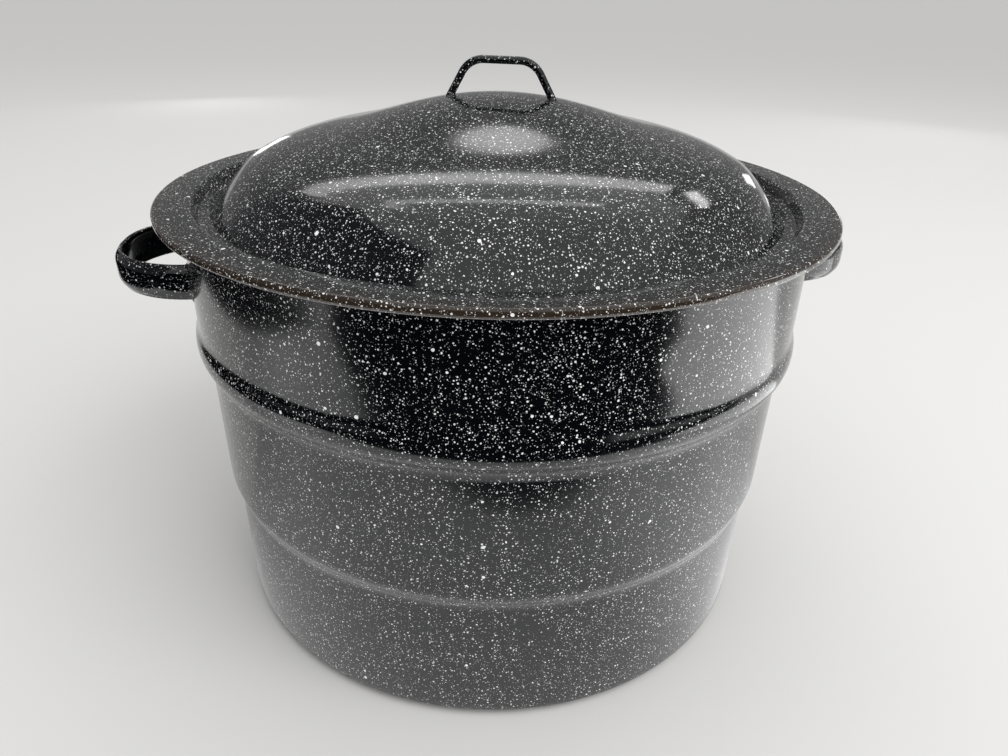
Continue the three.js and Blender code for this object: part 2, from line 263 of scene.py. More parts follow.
def joined(*stretches):
    """One line from several, without the doubled points where they meet."""
    line = []
    for point in (p for stretch in stretches for p in stretch):
        if not line or math.dist(line[-1], point) > 1e-6:
            line.append(point)
    return line


def spaced(line, longest):
    """The line with points added, so that no stretch is longer than a length."""
    result = [line[0]]
    for a, b in zip(line, line[1:]):
        parts = max(1, math.ceil(math.dist(a, b) / longest))
        start, step = np.array(a), np.array(b) - np.array(a)
        result += [tuple(start + step * i / parts) for i in range(1, parts + 1)]
    return result


def offset_line(line, distance):
    """The line moved to its left, as it runs; a point on the axis stays there."""
    points = np.array(line)
    steps = np.diff(points, axis=0)
    steps /= np.linalg.norm(steps, axis=1)[:, None]
    arriving = np.vstack([steps[:1], steps])
    leaving = np.vstack([steps, steps[-1:]])
    along = arriving + leaving
    along /= np.linalg.norm(along, axis=1)[:, None]
    reach = distance / (along * arriving).sum(1)
    moved = points + np.column_stack([-along[:, 1], along[:, 0]]) * reach[:, None]
    moved[points[:, 0] == 0, 0] = 0
    return [tuple(p) for p in moved]


def bent_line(corners, radius, steps):
    """Straight stretches between corners, each corner rounded."""
    corners = [Vector(c) for c in corners]
    stations = [corners[0]]
    for before, corner, after in zip(corners, corners[1:], corners[2:]):
        back, on = (before - corner).normalized(), (after - corner).normalized()
        half = back.angle(on) / 2
        start = corner + back * (radius / math.tan(half))
        centre = corner + (back + on).normalized() * (radius / math.sin(half))
        axis = on.cross(back).normalized()
        for k in range(steps + 1):
            turn = Matrix.Rotation((math.pi - 2 * half) * k / steps, 3, axis)
            stations.append(centre + turn @ (start - centre))
    stations.append(corners[-1])
    return [tuple(s) for s in stations]


def turned(points, degrees):
    turn = Matrix.Rotation(math.radians(degrees), 3, "Z")
    return [tuple(turn @ Vector(p)) for p in points]


def mirrored(points):
    """The points on the other side of X, in reverse order."""
    return [(-x, y, z) for x, y, z in points[::-1]]


def pot_outer_line():
    fillet = (WALL_RADIUS + RIM_FILLET, POT_HEIGHT - SHEET - RIM_FILLET)
    over = arc(fillet, RIM_FILLET, 180, 90 - RIM_FALL, steps=12)
    run = RIM_RADIUS - RIM_BEAD - over[-1][0]
    return joined(
        [(0, 0)],
        arc((BASE_RADIUS - BASE_CORNER, BASE_CORNER), BASE_CORNER, -90, 0, steps=14),
        ogee(*LOWER_STEP, steps=22),
        ogee(*UPPER_STEP, steps=22),
        ogee(UPPER_STEP[1], BULGE_TOP, UPPER_STEP[3], WALL_RADIUS, steps=14),
        over,
        [(RIM_RADIUS - RIM_BEAD, over[-1][1] - run * math.tan(math.radians(RIM_FALL)))],
    )


def dome_line():
    """The lid's top face from the axis to the gutter's floor: crown, brow, shoulder and foot."""
    top = (0, CROWN_TOP)
    crown = [part_way(top, CROWN_RING, shares) for shares in CROWN_HANDLES]
    brow = [part_way(CROWN_RING, SHOULDER, shares) for shares in BROW_HANDLES]
    side = math.radians(SIDE_ANGLE)
    fillet = (DOME_FOOT + FOOT_FILLET * math.sin(side), GUTTER_FLOOR + FOOT_FILLET)
    foot = arc(fillet, FOOT_FILLET, 270 - SIDE_ANGLE, 270, steps=12)
    fall = SHOULDER[1] - foot[0][1]
    along_side = (
        DOME_FOOT - fall * SIDE_SHARE / math.tan(side),
        SHOULDER[1] - fall * (1 - SIDE_SHARE),
    )
    return joined(
        bezier(top, *crown, CROWN_RING, steps=32),
        bezier(CROWN_RING, *brow, SHOULDER, steps=18),
        bezier(
            SHOULDER, part_way(SHOULDER, foot[0], SHOULDER_HANDLE), along_side, foot[0], steps=24
        ),
        foot,
    )


def lid_top_line():
    bend = arc(
        (FLANGE_INNER, FLANGE_TOP - FLANGE_BEND), FLANGE_BEND, 90 + HEEL_ANGLE, 90, steps=8
    )
    heel = arc((0, GUTTER_FLOOR + HEEL_FILLET), HEEL_FILLET, 270, 270 + HEEL_ANGLE, steps=10)
    wall_run = (bend[0][1] - heel[-1][1]) / math.tan(math.radians(HEEL_ANGLE))
    heel_out = bend[0][0] - wall_run - heel[-1][0]
    heel = [(x + heel_out, z) for x, z in heel]
    lip = arc((LID_RADIUS - LIP_ROUND, FLANGE_TOP - LIP_ROUND), LIP_ROUND, 90, 0, steps=14)
    hem_centre = (LID_RADIUS - LIP_HEM, FLANGE_TOP - LIP_ROUND - LIP_FACE)
    hem = arc(hem_centre, LIP_HEM, 0, -LIP_CURL, steps=8)
    return joined(dome_line(), heel, bend, lip, hem)


# Node trees


def node(tree, kind, inputs=(), **settings):
    """A new node with its settings, its sockets set to values or linked to other sockets."""
    made = tree.nodes.new(kind)
    for name, value in settings.items():
        setattr(made, name, value)
    for key, value in dict(inputs).items():
        if isinstance(value, bpy.types.NodeSocket):
            tree.links.new(value, made.inputs[key])
        else:
            made.inputs[key].default_value = value
    return made


def calculated(tree, operation, a, b=0.0, clamp=False):
    made = node(tree, "ShaderNodeMath", {0: a, 1: b}, operation=operation, use_clamp=clamp)
    return made.outputs[0]


def vector_step(tree, operation, inputs):
    return node(tree, "ShaderNodeVectorMath", inputs, operation=operation).outputs[0]


def ranged(tree, value, to, given=(0.0, 1.0)):
    """A value mapped from one span to another, and held within it."""
    spans = {"From Min": given[0], "From Max": given[1], "To Min": to[0], "To Max": to[1]}
    return node(tree, "ShaderNodeMapRange", {"Value": value, **spans}).outputs[0]


def mixed(tree, factor, a, b):
    """A colour between two."""
    made = node(tree, "ShaderNodeMix", {"Factor": factor, "A": a, "B": b}, data_type="RGBA")
    return made.outputs["Result"]


def noise(tree, place, scale, detail):
    inputs = {"Vector": place, "Scale": scale, "Detail": detail}
    return node(tree, "ShaderNodeTexNoise", inputs).outputs


def new_tree(name, kind, inputs, outputs):
    """A node group with named sockets, each (name, socket type, default)."""
    tree = bpy.data.node_groups.new(name, kind)
    for in_out, sockets in (("INPUT", inputs), ("OUTPUT", outputs)):
        for socket_name, socket_type, default in sockets:
            made = tree.interface.new_socket(socket_name, in_out=in_out, socket_type=socket_type)
            if default is not None:
                made.default_value = default
    return tree, tree.nodes.new("NodeGroupInput").outputs, tree.nodes.new("NodeGroupOutput").inputs


GEOMETRY, MATERIAL, OBJECT = "NodeSocketGeometry", "NodeSocketMaterial", "NodeSocketObject"
NUMBER, WHOLE, VECTOR = "NodeSocketFloat", "NodeSocketInt", "NodeSocketVector"


def curve_of(tree, mesh):
    return node(tree, "GeometryNodeMeshToCurve", {"Mesh": mesh}).outputs[0]


def mark_of(tree, name):
    """The number that each point has for a mark."""
    made = node(tree, "GeometryNodeInputNamedAttribute", {"Name": name}, data_type="FLOAT")
    return made.outputs[0]


def swept(tree, path, section, more=()):
    inputs = {"Curve": path, "Profile Curve": section, **dict(more)}
    return node(tree, "GeometryNodeCurveToMesh", inputs).outputs[0]


def round_line(tree, steps, radius):
    inputs = {"Resolution": steps, "Radius": radius}
    return node(tree, "GeometryNodeCurvePrimitiveCircle", inputs).outputs[0]


def finished_in(tree, geometry, given, result):
    """Ends a geometry tree: everything realized and in its finish."""
    real = node(tree, "GeometryNodeRealizeInstances", {"Geometry": geometry}).outputs[0]
    smooth = node(tree, "GeometryNodeSetShadeSmooth", {"Geometry": real}).outputs[0]
    inputs = {"Geometry": smooth, "Material": given["Finish"]}
    ended = node(tree, "GeometryNodeSetMaterial", inputs)
    tree.links.new(ended.outputs[0], result[0])


def turned_sheet_tree():
    """Turns a profile about the upright axis."""
    tree, given, result = new_tree(
        "turned_sheet",
        "GeometryNodeTree",
        [("Profile", GEOMETRY, None), ("Steps", WHOLE, TURN_STEPS), ("Finish", MATERIAL, None)],
        [("Geometry", GEOMETRY, None)],
    )
    profile = curve_of(tree, given["Profile"])
    sheet = swept(tree, round_line(tree, given["Steps"], MM), profile)
    inputs = {"Geometry": sheet, "Distance": 1e-6}
    closed = node(tree, "GeometryNodeMergeByDistance", inputs).outputs[0]
    finished_in(tree, closed, given, result)
    return tree


def strap_tree():
    """Draws a crowned strap along a level path, with closed ends."""
    tree, given, result = new_tree(
        "bent_strap",
        "GeometryNodeTree",
        [("Path", GEOMETRY, None), ("Section", OBJECT, None), ("Finish", MATERIAL, None)],
        [("Geometry", GEOMETRY, None)],
    )
    path = curve_of(tree, given["Path"])
    upright = node(tree, "GeometryNodeSetCurveNormal", {"Curve": path}, mode="Z_UP").outputs[0]
    outline = node(tree, "GeometryNodeObjectInfo", {"Object": given["Section"]}).outputs["Geometry"]
    strap = swept(tree, upright, curve_of(tree, outline), {"Fill Caps": True})
    finished_in(tree, strap, given, result)
    return tree


def wire_tree():
    """Draws round wire along each path, as thick as its gauge, with a weld on each loose point."""
    tree, given, result = new_tree(
        "wire_work",
        "GeometryNodeTree",
        [
            ("Paths", GEOMETRY, None),
            ("Sides", WHOLE, WIRE_SIDES),
            ("Weld Radius", NUMBER, WELD_SPOT * MM),
            ("Finish", MATERIAL, None),
        ],
        [("Geometry", GEOMETRY, None)],
    )
    section = round_line(tree, given["Sides"], 0.5)
    gauged = {"Scale": mark_of(tree, "gauge"), "Fill Caps": True}
    wire = swept(tree, curve_of(tree, given["Paths"]), section, gauged)
    ball = {"Radius": given["Weld Radius"], "Subdivisions": 2}
    bead = node(tree, "GeometryNodeMeshIcoSphere", ball).outputs[0]
    spot = calculated(tree, "GREATER_THAN", mark_of(tree, "weld"), 0.5)
    inputs = {"Points": given["Paths"], "Selection": spot, "Instance": bead}
    welds = node(tree, "GeometryNodeInstanceOnPoints", inputs).outputs[0]
    both = node(tree, "GeometryNodeJoinGeometry", {"Geometry": wire})
    tree.links.new(welds, both.inputs[0])
    finished_in(tree, both.outputs[0], given, result)
    return tree


# Finishes


def speck_layer(tree, place, cell, radius, share, faintest):
    """One size of speck: a ball in each cell of space, which the surface cuts to a round spot."""
    spread = node(
        tree,
        "ShaderNodeTexVoronoi",
        {"Vector": place, "Scale": calculated(tree, "DIVIDE", 1.0, cell)},
        voronoi_dimensions="3D",
        feature="F1",
    )
    draw = node(tree, "ShaderNodeSeparateColor", {0: spread.outputs["Color"]}).outputs
    skewed = calculated(tree, "POWER", draw[0], SIZE_POWER)
    size = ranged(tree, skewed, (SMALLEST_SPECK, 1.0))
    reach = calculated(tree, "MULTIPLY", size, radius)
    away = calculated(tree, "MULTIPLY", spread.outputs["Distance"], cell)
    inside = calculated(tree, "SUBTRACT", reach, away)
    depth = calculated(tree, "DIVIDE", inside, SPECK_EDGE * MM)
    spot = calculated(tree, "ADD", depth, 0.5, clamp=True)
    kept = calculated(tree, "LESS_THAN", draw[1], share)
    strength = ranged(tree, calculated(tree, "POWER", draw[2], BRIGHT_POWER), (faintest, 1.0))
    return calculated(tree, "MULTIPLY", calculated(tree, "MULTIPLY", spot, kept), strength)


def speck_group():
    """White frit specks of three sizes, a little ragged and denser in some patches."""
    tree, given, result = new_tree(
        "frit_specks",
        "ShaderNodeTree",
        [
            ("Vector", VECTOR, None),
            ("Fine Radius", NUMBER, FINE_SPECK[0] * MM),
            ("Speck Radius", NUMBER, MIDDLE_SPECK[0] * MM),
            ("Blot Radius", NUMBER, BLOT[0] * MM),
            ("Share", NUMBER, POT_SHARE),
        ],
        [("Specks", NUMBER, None)],
    )
    ragged = noise(tree, given["Vector"], RAGGED_SCALE, 1.0)["Color"]
    centred = vector_step(tree, "SUBTRACT", {0: ragged, 1: (0.5, 0.5, 0.5)})
    shift = vector_step(tree, "SCALE", {0: centred, "Scale": RAGGED_REACH * MM})
    place = vector_step(tree, "ADD", {0: given["Vector"], 1: shift})
    patch = noise(tree, given["Vector"], PATCH_SCALE, 3.0)[0]
    share = calculated(tree, "MULTIPLY", given["Share"], ranged(tree, patch, PATCH_DRIFT))
    blots = calculated(tree, "MULTIPLY", share, BLOT_SHARE)
    layers = [
        speck_layer(tree, place, cell * MM, given[radius], amount, faintest)
        for radius, amount, (_, cell, faintest) in (
            ("Fine Radius", share, FINE_SPECK),
            ("Speck Radius", share, MIDDLE_SPECK),
            ("Blot Radius", blots, BLOT),
        )
    ]
    small = calculated(tree, "MAXIMUM", layers[0], layers[1])
    tree.links.new(calculated(tree, "MAXIMUM", small, layers[2]), result["Specks"])
    return tree


def flow_group():
    """How a fired or plated coat lies: long waves, a fine orange peel, and a haze of handling."""
    tree, given, result = new_tree(
        "coat_flow",
        "ShaderNodeTree",
        [
            ("Vector", VECTOR, None),
            ("Wave", NUMBER, ENAMEL_WAVE * MM),
            ("Peel", NUMBER, ENAMEL_PEEL * MM),
        ],
        [("Height", NUMBER, None), ("Haze", NUMBER, None)],
    )
    wave = noise(tree, given["Vector"], WAVE_SCALE, 1.0)[0]
    peel = noise(tree, given["Vector"], PEEL_SCALE, 1.0)[0]
    haze = noise(tree, given["Vector"], HAZE_SCALE, 5.0)[0]
    waves = calculated(tree, "MULTIPLY", wave, given["Wave"])
    grain = calculated(tree, "MULTIPLY", peel, given["Peel"])
    tree.links.new(calculated(tree, "ADD", waves, grain), result["Height"])
    tree.links.new(ranged(tree, haze, (0.0, 1.0), HAZE_SPAN), result["Haze"])
    return tree


def new_material(name):
    material = bpy.data.materials.new(name)
    material.use_nodes = True
    return material, material.node_tree, material.node_tree.nodes["Principled BSDF"]


def object_place(tree):
    return node(tree, "ShaderNodeTexCoord").outputs["Object"]


def attribute(tree, name):
    return node(tree, "ShaderNodeAttribute", attribute_name=name).outputs["Fac"]


def placed(tree, group, **inputs):
    return node(tree, "ShaderNodeGroup", inputs, node_tree=group).outputs


def bumped(tree, shader, height):
    """Feeds a height in metres to the shader's normal."""
    bump = node(tree, "ShaderNodeBump", {"Height": height, "Strength": 1.0, "Distance": 1.0})
    tree.links.new(bump.outputs[0], shader.inputs["Normal"])


def enamel_material(name, share, gloss, edge_tone):
    """Black porcelain enamel with white specks, left off where shade is painted, and with an edge
    tone: thin glaze with a painted reflection on the lid's lip, a painted highlight on the pot's
    rim.
    """
    material, tree, shader = new_material(name)
    place = object_place(tree)
    # No specks where this mark is set: painted shade on the strap's back face
    sprayed = calculated(tree, "SUBTRACT", 1.0, attribute(tree, "unsprayed"), clamp=True)
    amount = calculated(tree, "MULTIPLY", sprayed, share)
    specks = placed(tree, SPECKS, Vector=place, Share=amount)["Specks"]
    # Edge tone: on the lid thin glaze and a painted reflection, on the pot's rim a painted
    # highlight
    ground = mixed(tree, attribute(tree, "thin_glaze"), ENAMEL_BLACK, edge_tone)
    tree.links.new(mixed(tree, specks, ground, FRIT_WHITE), shader.inputs["Base Color"])
    flow = placed(tree, FLOW, Vector=place)
    rough = ranged(tree, flow["Haze"], (gloss, gloss + GLOSS_SPREAD))
    tree.links.new(rough, shader.inputs["Roughness"])
    shader.inputs["IOR"].default_value = ENAMEL_INDEX
    bumped(tree, shader, flow["Height"])
    return material


def plated_material():
    """Bright plated wire, duller where it is welded."""
    material, tree, shader = new_material("plated_wire")
    place = object_place(tree)
    flow = placed(tree, FLOW, Vector=place, Wave=PLATE_WAVE * MM, Peel=PLATE_PEEL * MM)
    weld = attribute(tree, "weld")
    tree.links.new(mixed(tree, weld, PLATE_TONE, WELD_TONE), shader.inputs["Base Color"])
    rough = ranged(tree, flow["Haze"], PLATE_ROUGHNESS)
    dull = calculated(tree, "MULTIPLY", weld, WELD_DULLNESS)
    tree.links.new(calculated(tree, "ADD", rough, dull), shader.inputs["Roughness"])
    shader.inputs["Metallic"].default_value = 1.0
    bumped(tree, shader, flow["Height"])
    return material


def matt_material(name, colour, glow=0.0):
    """A matt cloth or floor, or a card that glows; without a level its own glow values set it."""
    material, tree, shader = new_material(name)
    shader.inputs["Base Color"].default_value = colour
    shader.inputs["Emission Color"].default_value = (1, 1, 1, 1)
    shader.inputs["Roughness"].default_value = 1.0
    shader.inputs["Specular IOR Level"].default_value = 0.0
    if glow is None:
        tree.links.new(attribute(tree, "glow"), shader.inputs["Emission Strength"])
    else:
        shader.inputs["Emission Strength"].default_value = glow
    return material


SPECKS = speck_group()
FLOW = flow_group()
POT_ENAMEL = enamel_material("pot_enamel", POT_SHARE, POT_GLOSS, RIM_PAINTED_HIGHLIGHT)
LID_ENAMEL = enamel_material("lid_enamel", LID_SHARE, LID_GLOSS, BROWN_GLAZE_AND_REFLECTION)
HANDLE_ENAMEL = enamel_material("handle_enamel", HANDLE_SHARE, LID_GLOSS, BROWN_GLAZE_AND_REFLECTION)
PLATED_WIRE = plated_material()
BLACK_CLOTH = matt_material("black_cloth", CLOTH_BLACK)
GREY_CLOTH = matt_material("grey_cloth", CLOTH_GREY)
GLOWING_CARD = matt_material("lit_card", WHITE_CARD_TONE, WHITE_CARD_GLOW)
FOOT_CARD = matt_material("foot_card", FOOT_CARD_TONE, None)
PALE_FLOOR = matt_material("pale_floor", FLOOR_TONE)
TURNED_SHEET = turned_sheet_tree()
BENT_STRAP = strap_tree()
WIRE_WORK = wire_tree()


# Pieces


def set_marks(mesh, marks):
    """Puts a number on each point of a mesh for every mark."""
    for mark, values in marks.items():
        made = mesh.attributes.new(mark, "FLOAT", "POINT")
        made.data.foreach_set("value", np.array(values, np.float32))


def line_mesh(name, lines=(), rings=(), loose=(), **marks):
    """A mesh of rings, lines and loose points, in metres, with its marks."""
    points, edges = [], []
    for line, closed in [(ring, True) for ring in rings] + [(line, False) for line in lines]:
        first = len(points)
        points += line
        edges += [(i, i + 1) for i in range(first, len(points) - 1)]
        if closed:
            edges.append((len(points) - 1, first))
    points += loose
    mesh = bpy.data.meshes.new(name)
    mesh.from_pydata([tuple(MM * c for c in p) for p in points], edges, [])
    set_marks(mesh, marks)
    return mesh


def linked(name, data):
    made = bpy.data.objects.new(name, data)
    bpy.context.scene.collection.objects.link(made)
    return made


def grown(name, tree, host_mesh, **inputs):
    """The plain mesh that a geometry tree makes of a host mesh, as an object at the origin."""
    host = linked(name, host_mesh)
    shape = host.modifiers.new("shape", "NODES")
    shape.node_group = tree
    for socket in tree.interface.items_tree:
        if socket.in_out == "INPUT" and socket.name.replace(" ", "_") in inputs:
            shape[socket.identifier] = inputs[socket.name.replace(" ", "_")]
    depsgraph = bpy.context.evaluated_depsgraph_get()
    mesh = bpy.data.meshes.new_from_object(host.evaluated_get(depsgraph), depsgraph=depsgraph)
    host.modifiers.remove(shape)
    host.data = mesh
    mesh.name = name
    mesh.set_sharp_from_angle(angle=math.radians(CREASE))
    bpy.data.meshes.remove(host_mesh)
    return host


def dressed(piece, body, slot, *nodes):
    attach(piece, body)
    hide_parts(*nodes)


def turned_sheet(name, outline, edge_radius, fade, finish):
    """A sheet turned from its outline, which runs from the axis over the edge and back below."""
    profile = [(radius - 1, -z, 0) for radius, z in outline]
    # The edge tone's share, highest at the edge: thin glaze with a painted reflection on the lid, a
    # painted highlight on the pot's rim
    edge_tint = [max(0.0, 1 - abs(radius - edge_radius) / fade) for radius, _ in outline]
    host = line_mesh(name + "_profile", [profile], thin_glaze=edge_tint)
    return grown(name, TURNED_SHEET, host, Steps=TURN_STEPS, Finish=finish)


def sheet_outline(face, edge, other_face):
    return joined(
        spaced(face, LONGEST_STRETCH), edge, spaced(other_face[::-1], LONGEST_STRETCH)
    )


def vertex_values(mesh, kind):
    values = np.zeros(len(mesh.vertices) * 3)
    mesh.vertices.foreach_get(kind, values)
    return values.reshape(-1, 3)


def put_vertices(mesh, place):
    mesh.vertices.foreach_set("co", (place * MM).ravel())
    mesh.update()


def short_of_round(distance, radius):
    """How far a rounded corner falls short of a square one, at a distance from its end."""
    near = np.clip(distance, 0, radius)
    return radius - np.sqrt(radius**2 - (radius - near) ** 2)


def pool_at_weld(mesh, height_over_sheet, pool):
    """Moves points near a sheet out along their normals, as enamel fills the corner of a weld."""
    place = vertex_values(mesh, "co") / MM
    out = short_of_round(height_over_sheet(place), pool)
    put_vertices(mesh, place + vertex_values(mesh, "normal") * out[:, None])


def wall_distance(place):
    return np.hypot(place[:, 0], place[:, 1]) - WALL_RADIUS


def wall_face(side):
    """Where the upper wall is along X, at a distance along Y."""
    return np.sqrt(WALL_RADIUS**2 - np.square(side))


def fit_to_wall(mesh):
    """Bends the ends of a strap to the curve of the wall that they are welded to."""
    place = vertex_values(mesh, "co") / MM
    root = wall_face(STRAP_SIDE)
    near = np.clip(1 - (place[:, 0] - root) / STRAP_FIT, 0, 1)
    wall = wall_face(np.clip(place[:, 1], -WALL_RADIUS, WALL_RADIUS))
    place[:, 0] += (wall - root) * near
    put_vertices(mesh, place)


def make_pot():
    outer = pot_outer_line()
    inner = offset_line(outer, SHEET)
    bead = RIM_BEAD / 2
    fall = math.radians(RIM_FALL)
    out = np.array((math.cos(fall), -math.sin(fall)))
    up = np.array((math.sin(fall), math.cos(fall)))
    centre = np.array(outer[-1]) + up * (SHEET - bead) + out * bead
    undercut = math.degrees(math.asin((bead - SHEET) / bead))
    edge = arc(centre, bead, 450 - RIM_FALL, 180 - undercut - RIM_FALL, steps=28)
    outline = sheet_outline(inner, edge, outer)
    piece = turned_sheet("enamelled_pot", outline, RIM_RADIUS, RIM_FADE, POT_ENAMEL)
    dressed(piece, "pot", "black_enamel", "pot_shell")


def make_lid():
    top = lid_top_line()
    under = offset_line(top, -SHEET)
    middle = [(a + b) / 2 for a, b in zip(top[-1], under[-1])]
    edge = arc(middle, SHEET / 2, -LIP_CURL, -LIP_CURL - 180, steps=12)
    outline = sheet_outline(top, edge, under)
    piece = turned_sheet("enamelled_lid", outline, LID_RADIUS, LIP_FADE, LID_ENAMEL)
    dressed(piece, "lid", "black_enamel", "lid_shell")


def strap_section():
    """The strap's crowned outline with round edges: outwards is +X, down is +Y."""
    round_edge = STRAP_THICKNESS / 2
    flat_half = STRAP_HEIGHT / 2 - round_edge
    across = np.linspace(-1, 1, 21)
    face = [(STRAP_CROWN * (1 - a**STRAP_FACE_POWER), a * flat_half, 0) for a in across]
    back = [(x - STRAP_THICKNESS, y, 0) for x, y, _ in face]
    turns = np.radians(np.linspace(90, -90, 9)[1:-1])
    low = [
        (-round_edge + round_edge * math.sin(t), flat_half + round_edge * math.cos(t), 0)
        for t in turns
    ]
    high = [(x, -y, 0) for x, y, _ in low[::-1]]
    outline = face + low + back[::-1] + high
    # Painted shade: the back face, towards the wall, is marked to carry no white specks
    unsprayed = [0.0] * (len(face) + len(low)) + [1.0] * len(back) + [0.0] * len(high)
    return line_mesh("strap_section", rings=[outline], unsprayed=unsprayed)


def make_strap(name, degrees, node_name):
    """A strap handle on the +X side, turned to its place, with its ends run into the wall."""
    front, sunk = WALL_RADIUS + STRAP_REACH, wall_face(STRAP_SIDE) - WELD_SINK
    side = STRAP_SIDE
    corners = [(sunk, -side), (front, -side), (front, side), (sunk, side)]
    loop = bent_line([(x, y, STRAP_Z) for x, y in corners], STRAP_CORNER, steps=56)
    start, end = (spaced(line, STRAP_END_STRETCH) for line in (loop[:2], loop[-2:]))
    host = line_mesh(name + "_path", [joined(start, loop[1:-1], end)])
    section = linked("strap_section", strap_section())
    piece = grown(name, BENT_STRAP, host, Section=section, Finish=HANDLE_ENAMEL)
    bpy.data.objects.remove(section)
    fit_to_wall(piece.data)
    pool_at_weld(piece.data, wall_distance, STRAP_POOL)
    piece.data.transform(Matrix.Rotation(math.radians(degrees), 4, "Z"))
    dressed(piece, "pot", "black_enamel", node_name)


def lid_height(place):
    """How far each point is above the lid's top face, for points over the crown."""
    line = np.array(lid_top_line())
    crown = line[line[:, 0] <= CROWN_RING[0]]
    face = np.interp(np.hypot(place[:, 0], place[:, 1]), crown[:, 0], crown[:, 1])
    return place[:, 2] - face


def make_grip():
    top = CROWN_TOP + GRIP_HEIGHT
    slope = (GRIP_FOOT_HALF - GRIP_TOP_HALF) / GRIP_HEIGHT
    levels = [CROWN_TOP - GRIP_SINK + level for level in GRIP_LEG_LEVELS]
    leg = [(-GRIP_FOOT_HALF - slope * (CROWN_TOP - z), 0, z) for z in levels]
    half = [leg[-1], (-GRIP_TOP_HALF, 0, top)]
    arch = bent_line(half + mirrored(half), GRIP_CORNER, steps=20)
    path = joined(leg, spaced(arch, GRIP_STRETCH), mirrored(leg))
    gauge = [(GRIP_WIRE + 2 * GRIP_COAT) * MM] * len(path)
    host = line_mesh("grip_path", [path], gauge=gauge, weld=[0] * len(path))
    piece = grown("lid_grip_wire", WIRE_WORK, host, Sides=GRIP_SIDES, Finish=HANDLE_ENAMEL)
    pool_at_weld(piece.data, lid_height, GRIP_POOL)
    piece.data.transform(Matrix.Rotation(math.radians(LID_TURN), 4, "Z"))
    dressed(piece, "lid", "black_enamel", "lid_grip")


def wire_ends(line, gauge):
    """A wire's points and gauges, with the cut at each end a little rounded."""
    line = [Vector(p) for p in line]
    ends = []
    for end, inner in ((line[0], line[1]), (line[-1], line[-2])):
        ends.append(end + (inner - end).normalized() * CUT_LENGTH)
    points = [line[0], ends[0], *line[1:-1], ends[1], line[-1]]
    cut = gauge * CUT_GAUGE
    return [tuple(p) for p in points], [cut] + [gauge] * (len(points) - 2) + [cut]


def rack_rings():
    turns = np.radians(np.arange(0, 360, RING_STEP))
    return [
        [(radius * math.cos(a), radius * math.sin(a), z) for a in turns]
        for z in (BASE_RING_Z, UPPER_RING_Z)
        for radius in (OUTER_RING, INNER_RING)
    ]


def rack_hoop():
    """A hoop between the rings along +X, and the spots where it is welded to them."""
    reach = RING_WIRE / 2 + SEAT_GAP + HOOP_WIRE / 2
    inner, outer = INNER_RING + reach, OUTER_RING - reach
    foot, top = FLOOR_TOP + FLOOR_GAP, UPPER_RING_Z + HOOP_CORNER
    corners = [(inner, 0, foot), (inner, 0, top), (outer, 0, top), (outer, 0, foot)]
    touch = (RING_WIRE + SEAT_GAP) / 2
    welds = [
        (radius, 0, z)
        for radius in (INNER_RING + touch, OUTER_RING - touch)
        for z in (BASE_RING_Z, UPPER_RING_Z)
    ]
    return bent_line(corners, HOOP_CORNER, steps=14), welds


def rack_spoke():
    """A spoke on the base rings along +X, and the spots where it is welded to them."""
    z = BASE_RING_Z + RING_WIRE / 2 + SEAT_GAP + SPOKE_WIRE / 2
    touch = BASE_RING_Z + (RING_WIRE + SEAT_GAP) / 2
    welds = [(radius, 0, touch) for radius in (INNER_RING, OUTER_RING)]
    return [(INNER_RING - SPOKE_OVERHANG, 0, z), (OUTER_RING, 0, z)], welds


def make_rack():
    """Four rings, six hoops and twelve spokes, with a weld wherever two of them meet."""
    rings = rack_rings()
    gauges = [RING_WIRE for ring in rings for _ in ring]
    hoop, spoke = rack_hoop(), rack_spoke()
    paths, welds, nodes = [], [], []
    bay = 360 / HOOP_COUNT
    for i in range(HOOP_COUNT):
        wires = [(hoop, HOOP_WIRE, bay * i, f"rack_divider_{i + 1}")]
        for side, turn in (("a", -SPOKE_SPREAD), ("b", SPOKE_SPREAD)):
            place = bay * (i + 0.5) + turn
            wires.append((spoke, SPOKE_WIRE, place, f"rack_spoke_{i + 1}{side}"))
        for (line, spots), wire, degrees, node_name in wires:
            points, gauge = wire_ends(line, wire)
            paths.append(turned(points, degrees))
            gauges += gauge
            welds += turned(spots, degrees)
            nodes.append(node_name)
    for level in ("base", "upper"):
        nodes += [f"rack_{level}_{side}_ring" for side in ("outer", "inner")]
    host = line_mesh(
        "rack_paths",
        paths,
        rings,
        welds,
        gauge=[g * MM for g in gauges] + [0] * len(welds),
        weld=[0] * len(gauges) + [1] * len(welds),
    )
    settings = {"Sides": WIRE_SIDES, "Weld_Radius": WELD_SPOT * MM, "Finish": PLATED_WIRE}
    piece = grown("jar_rack", WIRE_WORK, host, **settings)
    dressed(piece, "rack", "plated_wire", *nodes)


